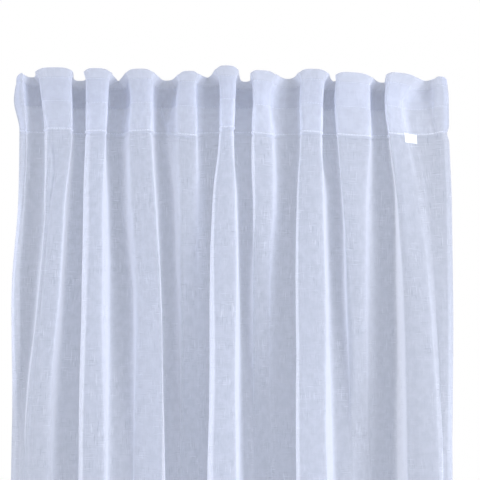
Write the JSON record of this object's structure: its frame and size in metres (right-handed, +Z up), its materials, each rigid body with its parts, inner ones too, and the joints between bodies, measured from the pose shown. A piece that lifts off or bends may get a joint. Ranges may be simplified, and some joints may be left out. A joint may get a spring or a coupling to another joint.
{
  "type": "sheer voile curtain panel hung from its top edge, without a rod",
  "caption": "Sheer white voile curtain hanging in soft uneven folds from a gathered heading with a tape sewn behind it.",
  "frame": {"origin": "middle of the curtain's top edge, at the general level of the fold crests, midway between the front and the back of the folds", "axes": "+X across the curtain to the right as seen from its front, -Y towards the room that the front faces, +Z up along the hang"},
  "size_m": [0.7004, 0.1391, 2.4537],
  "materials": {
    "voile": "matt, sheer, fine slubby plain weave",
    "tape": "matt woven tape",
    "label": "smooth woven satin"
  },
  "bodies": {
    "root": {"voile_panel": "voile", "heading_tape": "tape", "label": "label"}
  },
  "joints": []
}
